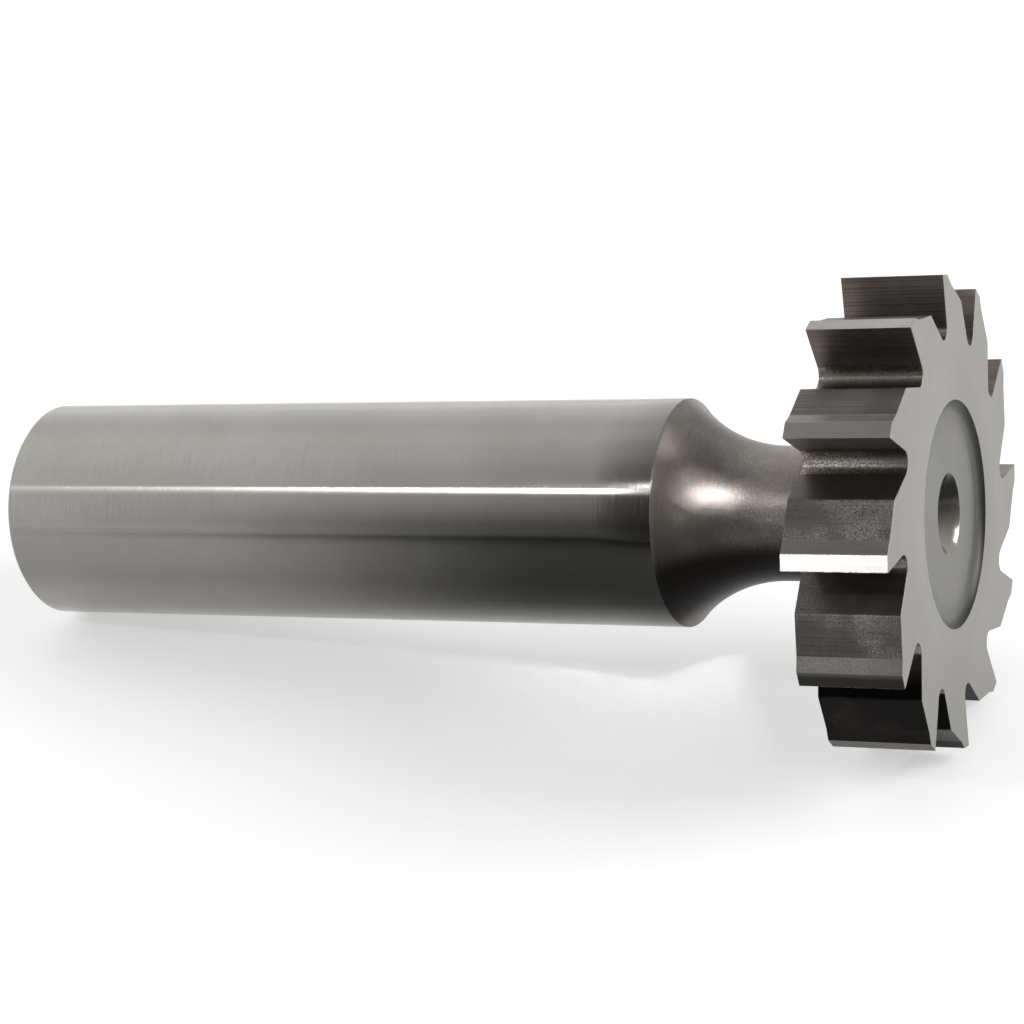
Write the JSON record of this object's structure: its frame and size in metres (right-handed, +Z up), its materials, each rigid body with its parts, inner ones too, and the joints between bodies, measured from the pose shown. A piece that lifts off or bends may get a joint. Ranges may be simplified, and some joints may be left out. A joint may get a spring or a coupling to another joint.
{
  "type": "keyseat cutter",
  "caption": "Shank-type keyseat cutter: plain round shank, concave flare to a slim neck, and a narrow head with straight radial teeth and a shallow round recess in its front face.",
  "frame": {"origin": "centre of the bounding box in X and Y, on the surface that the cutter lies on", "axes": "+Z up from that surface, +X along the cutter's axis seen from above, from the shank end towards the toothed head, +Y to the left of +X. The axis itself rises towards the head by 6.90 degrees."},
  "size_m": [0.0582, 0.025, 0.0254],
  "materials": {
    "tool_steel": "ground high speed steel, satin on the shank and side faces, darker and rougher in the neck and tooth gullets"
  },
  "bodies": {
    "root": {"cutter": "tool_steel"}
  },
  "joints": []
}
